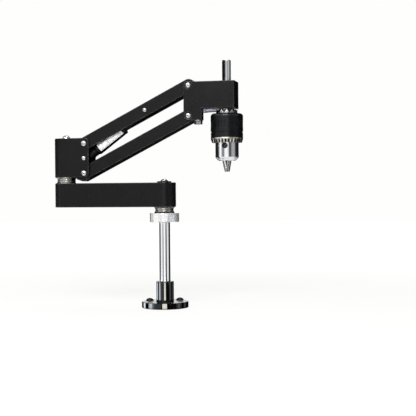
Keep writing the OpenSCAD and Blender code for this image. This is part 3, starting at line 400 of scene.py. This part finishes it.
def base_screw(name, turn):
    """A button-head screw with a hexagon socket, its head on the flange."""
    rings = [(SCREW_D / 2, -SCREW_LEN), (SCREW_D / 2, 0), (SCREW_HEAD_D / 2, 0)]
    dome = SCREW_HEAD_H - SCREW_RIM_H
    for degrees in SCREW_DOME_ANGLES:
        a = math.radians(degrees)
        rings.append((SCREW_HEAD_D / 2 * math.cos(a), SCREW_RIM_H + dome * math.sin(a)))
    rings += [(socket_r, SCREW_HEAD_H), (socket_r, SCREW_HEAD_H - SOCKET_DEEP)]
    screw = round_piece(name, rings, black_steel)
    circle = next(mount for mount in frame["record"]["mounts"] if mount["name"] == "base_holes")
    reach = circle["dims"]["pcd_mm"] / 2
    a = math.radians(turn)
    screw.location = Vector((reach * math.cos(a), reach * math.sin(a), FLANGE_T)) * MM
    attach(screw, "base")


for i, turn in enumerate(SCREW_TURNS):
    base_screw(f"base_screw_{i + 1}", turn)

# The gaiter's heights are along the strut, from its lower pin
GAITER_LOW, GAITER_FOLDS_LOW, GAITER_HIGH = 6.6, 9.4, 18.9
GAITER_FOLDS = 4
GAITER_IN_R, GAITER_NECK_R, GAITER_VALLEY_R, GAITER_CREST_R = 4.1, 5.1, 5.3, 6.5
GAITER_STEPS = 8


def strut_gaiter():
    """A rubber gaiter with folds, from the gland to the lower eye's socket."""
    rings = [(GAITER_NECK_R, GAITER_LOW), (GAITER_NECK_R, GAITER_FOLDS_LOW)]
    count = GAITER_FOLDS * GAITER_STEPS
    for i in range(1, count + 1):
        swell = (1 - math.cos(math.tau * i / GAITER_STEPS)) / 2
        radius = GAITER_VALLEY_R + (GAITER_CREST_R - GAITER_VALLEY_R) * swell
        rings.append((radius, GAITER_FOLDS_LOW + (GAITER_HIGH - GAITER_FOLDS_LOW) * i / count))
    rings += [(GAITER_IN_R, GAITER_HIGH), (GAITER_IN_R, GAITER_LOW)]
    gaiter = round_piece("strut_gaiter", rings, black_rubber, loop=True)
    turn = strut_line.to_track_quat("Z", "Y").to_matrix().to_4x4()
    gaiter.matrix_world = Matrix.Translation(strut_foot) @ turn
    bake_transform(gaiter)


strut_gaiter()


# Floor, light and the cards that the metal mirrors: lengths in metres, azimuths in degrees

ROOM_WHITE = "#fefefd"
AMBIENT = 0.2
FLOOR_R = 4.0
FLOOR_STEPS = 64
FLOOR_FADE_R = (0.25, 1.0)
FLOOR_FADE = (0.8, 1)
FLOOR_GLOW = 1.05
WALL_R = 3.0
WALL_FOOT = -1.8
WINDOW_HEIGHTS = (0.06, 1.2)
WINDOW_FROM, WINDOW_TO = 172, 188
CARD_R = 2.9
CARD_STEPS = 8
CEILING_H = 3.2
CEILING_IN_R = 0.001
CEILING_GLOW = 0.12
CEILING_LIGHT_H = 3.15
CEILING_LIGHT_R = (1.2, 1.6)


def ring_point(azimuth, radius, height):
    """A point round the stand; azimuth is in degrees from the camera, to the right."""
    a = math.radians(CAMERA_AZIMUTH + azimuth)
    return Vector((radius * math.sin(a), -radius * math.cos(a), height))


def stage_mesh(name, points, faces, material):
    """A mesh that isn't part of the stand."""
    mesh = bpy.data.meshes.new(name)
    mesh.from_pydata(points, [], faces)
    mesh.materials.append(material)
    thing = bpy.data.objects.new(name, mesh)
    scene.collection.objects.link(thing)
    return thing


def glow(name, strength, tint):
    """A plain light-giving material."""
    material = bpy.data.materials.new(name)
    material.use_nodes = True
    tree = material.node_tree
    tree.nodes.clear()
    light = add(tree, "ShaderNodeEmission", {"Color": linear(tint), "Strength": strength})
    add(tree, "ShaderNodeOutputMaterial", {"Surface": light.outputs[0]})
    return material


def card(name, edges, first, last, strength, tint="#ffffff"):
    """A curved card that only mirrors see, between two azimuths; an edge is a radius and a height."""
    points, faces = [], []
    for i in range(CARD_STEPS + 1):
        azimuth = first + (last - first) * i / CARD_STEPS
        points += [ring_point(azimuth, radius, height) for radius, height in edges]
    for i in range(CARD_STEPS):
        faces.append((2 * i, 2 * i + 2, 2 * i + 3, 2 * i + 1))
    thing = stage_mesh(name, points, faces, glow(name, strength, tint))
    for ray in ("camera", "diffuse", "transmission", "volume_scatter", "shadow"):
        setattr(thing, "visible_" + ray, False)


# Each upright cylinder mirrors the cards at its own height, and the blocks mirror the walls.
# A row is a card: its azimuth from and to, its brightness and, where it isn't white, its tint.
COOL, WARM = "#f1f7ff", "#fff8e6"
WALLS = {
    "wall": ((WALL_FOOT, CEILING_H), [(88, WINDOW_FROM, 0.004), (WINDOW_TO, 260, 0.006)]),
    "low wall behind": ((WALL_FOOT, WINDOW_HEIGHTS[0]), [(WINDOW_FROM, WINDOW_TO, 0.004)]),
    "window behind": (WINDOW_HEIGHTS, [(WINDOW_FROM, WINDOW_TO, 2.2)]),
    "high wall behind": ((WINDOW_HEIGHTS[1], CEILING_H), [(WINDOW_FROM, WINDOW_TO, 0.004)]),
}
BANDS = {
    "shank card": ((0.62, 0.9), [
        (-132, -42, 0.01), (-42, -22, 0.12), (-22, 8, 0.75), (8, 34, 0.35), (34, 64, 0.6), (64, 96, 0.24),
        (96, 130, 0.06)]),
    "head card": ((0.4, 0.62), [
        (-132, -70, 0.06), (-70, -50, 0.4), (-50, -28, 1.9), (-28, 12, 1.1), (12, 36, 0.25),
        (36, 130, 0.02)]),
    "chuck card": ((0.2, 0.4), [
        (-132, -89, 0.03), (-89, -76, 0.75, COOL), (-76, -62, 1.3), (-62, -52, 0.8), (-52, -42, 0.34),
        (-42, -31, 0.2), (-31, -21, 0.75), (-21, 9, 1.2), (9, 19, 0.75), (19, 39, 0.1), (39, 50, 0.34),
        (50, 73, 0.48), (73, 86, 0.33), (86, 130, 0.02)]),
    "arm card": ((0.085, 0.2), [
        (-132, -80, 0.3), (-80, -50, 0.6), (-50, -8, 1), (-8, 14, 1.4), (14, 130, 0.03)]),
    "collar card": ((0.03, 0.085), [
        (-132, -100, 0.62, COOL), (-100, -86, 0.9), (-86, -50, 1.2), (-50, -22, 0.9), (-22, 28, 1.1),
        (28, 88, 0.55, COOL), (88, 130, 0.18, COOL)]),
    "post card": ((-0.225, 0.03), [
        (-132, -86, 0.2, COOL), (-86, -62, 1.2), (-62, -40, 0.8), (-40, -19, 0.34), (-19, 0, 1.4),
        (0, 22, 0.8), (22, 44, 0.03), (44, 64, 1), (64, 90, 0.85), (90, 130, 0.02)]),
    "base card": ((-0.37, -0.225), [
        (-130, -112, 6.5, COOL), (-112, -87, 0.01), (-87, -79, 5, COOL), (-79, -65, 6.5, COOL),
        (-65, -56, 1.8, COOL), (-56, -46, 0.6), (-46, -18, 0.4), (-18, -12, 0.08), (-12, 10.5, 8.6, WARM),
        (10.5, 22, 0.01), (22, 58, 0.03), (58, 66, 0.25), (66, 80, 0.7), (80, 90, 0.25), (90, 108, 0.01),
        (108, 120, 0.45), (120, 130, 0.1)]),
    "jaw card": ((-1.5, -0.37), [
        (-100, -74, 0.03), (-74, -24, 0.8), (-24, 6, 0.3), (6, 26, 0.12), (26, 58, 0.9), (58, 100, 0.04)]),
    "gear card": ((-2.6, -1.5), [
        (-100, -78, 0.4), (-78, -20, 0.6), (-20, 12, 0.4), (12, 60, 0.5), (60, 100, 0.8)]),
    "low card behind": ((-2.6, -0.9), [
        (100, 118, 0.6), (118, 132, 0.1), (132, 154, 0.9), (154, 204, 0.01), (204, 224, 0.8),
        (224, 240, 0.1), (240, 260, 0.6)]),
}
for cards, radius in ((WALLS, WALL_R), (BANDS, CARD_R)):
    for name, (heights, rows) in cards.items():
        for i, row in enumerate(rows):
            card(f"{name} {i + 1}", [(radius, height) for height in heights], *row)
for name, first, last in (("ceiling left", -180, 0), ("ceiling right", 0, 180)):
    card(name, [(CEILING_IN_R, CEILING_H), (WALL_R, CEILING_H)], first, last, CEILING_GLOW)
light_edges = [(radius, CEILING_LIGHT_H) for radius in CEILING_LIGHT_R]
card("ceiling light", light_edges, first=-25, last=5, strength=4)


def lamp(name, azimuth, elevation, away, size, watts):
    """A square soft lamp aimed at the middle of the stand."""
    middle = (cad_box[0] + cad_box[1]) / 2
    e = math.radians(elevation)
    light = bpy.data.lights.new(name, "AREA")
    light.size = size
    light.energy = watts
    thing = bpy.data.objects.new(name, light)
    scene.collection.objects.link(thing)
    offset = ring_point(azimuth, away * math.cos(e), away * math.sin(e))
    thing.location = middle + offset
    thing.rotation_euler = (-offset).to_track_quat("-Z", "Y").to_euler()


lamp("key lamp", azimuth=-10, elevation=38, away=1.7, size=0.9, watts=26)
lamp("left lamp", azimuth=-70, elevation=50, away=1.8, size=0.9, watts=4)
lamp("top lamp", azimuth=170, elevation=75, away=1.6, size=0.8, watts=6)


def light_world():
    """A white room in the picture and in mirrors, and a plain grey light on everything else."""
    world = bpy.data.worlds.new("room")
    scene.world = world
    world.use_nodes = True
    tree = world.node_tree
    tree.nodes.clear()
    path = add(tree, "ShaderNodeLightPath")
    mirrors = add(tree, "ShaderNodeMath", {
        0: path.outputs["Is Glossy Ray"], 1: path.outputs["Is Transmission Ray"]}, operation="MAXIMUM")
    seen = add(tree, "ShaderNodeMath", {
        0: path.outputs["Is Camera Ray"], 1: mirrors.outputs[0]}, operation="MAXIMUM")
    ambient = add(tree, "ShaderNodeBackground", {"Color": linear("#ffffff"), "Strength": AMBIENT})
    white = add(tree, "ShaderNodeBackground", {"Color": linear(ROOM_WHITE), "Strength": 1})
    mixed = add(tree, "ShaderNodeMixShader", {
        0: seen.outputs[0], 1: ambient.outputs[0], 2: white.outputs[0]})
    add(tree, "ShaderNodeOutputWorld", {"Surface": mixed.outputs[0]})


def make_floor():
    """A pale floor that keeps the stand's shadow and runs out into the white of the room."""
    material = bpy.data.materials.new("pale floor")
    material.use_nodes = True
    tree = material.node_tree
    tree.nodes.clear()
    place = add(tree, "ShaderNodeTexCoord")
    away = add(tree, "ShaderNodeVectorMath", {0: place.outputs["Object"]}, operation="LENGTH")
    fade = add(tree, "ShaderNodeMapRange", {
        "Value": away.outputs["Value"], "From Min": FLOOR_FADE_R[0], "From Max": FLOOR_FADE_R[1],
        "To Min": FLOOR_FADE[0], "To Max": FLOOR_FADE[1]}, interpolation_type="SMOOTHSTEP")
    path = add(tree, "ShaderNodeLightPath")
    share = add(tree, "ShaderNodeMath", {
        0: fade.outputs[0], 1: path.outputs["Is Camera Ray"]}, operation="MULTIPLY")
    paper = add(tree, "ShaderNodeBsdfDiffuse", {"Color": linear("#f2f2f0")})
    white = add(tree, "ShaderNodeEmission", {"Color": linear(ROOM_WHITE), "Strength": FLOOR_GLOW})
    mixed = add(tree, "ShaderNodeMixShader", {0: share.outputs[0], 1: paper.outputs[0], 2: white.outputs[0]})
    add(tree, "ShaderNodeOutputMaterial", {"Surface": mixed.outputs[0]})
    rim = [ring_point(360 * i / FLOOR_STEPS, FLOOR_R, cad_box[0].z) for i in range(FLOOR_STEPS)]
    floor = stage_mesh("floor", rim, [list(range(FLOOR_STEPS))], material)
    floor.visible_glossy = False


light_world()
make_floor()
